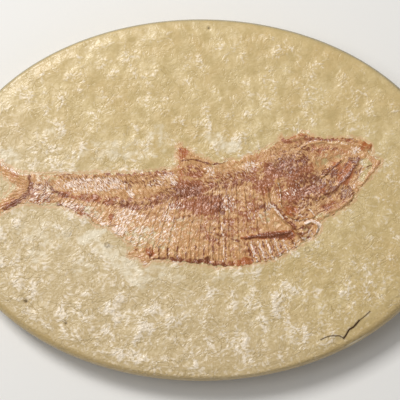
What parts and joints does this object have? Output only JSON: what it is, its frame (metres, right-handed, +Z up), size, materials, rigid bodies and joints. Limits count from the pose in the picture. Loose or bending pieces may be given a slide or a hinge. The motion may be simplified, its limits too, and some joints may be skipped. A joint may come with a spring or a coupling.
{
  "type": "diplomystus fossil fish",
  "caption": "Small fossil fish in low relief on the split face of an oval limestone slab with a ground edge and a flat base.",
  "frame": {"origin": "centre of the slab's outline, on its flat base", "axes": "+X along the slab's length and towards the fish's head, +Y towards the fish's back, +Z up out of the fossil's face"},
  "size_m": [0.056, 0.04, 0.0055],
  "materials": {
    "limestone": "natural split face with a clear sealer, ground edge",
    "fossil_bone": "sealed fossil bone, mottled red-brown"
  },
  "bodies": {
    "root": {"limestone_slab": "limestone", "fossil_fish": "fossil_bone"}
  },
  "joints": []
}
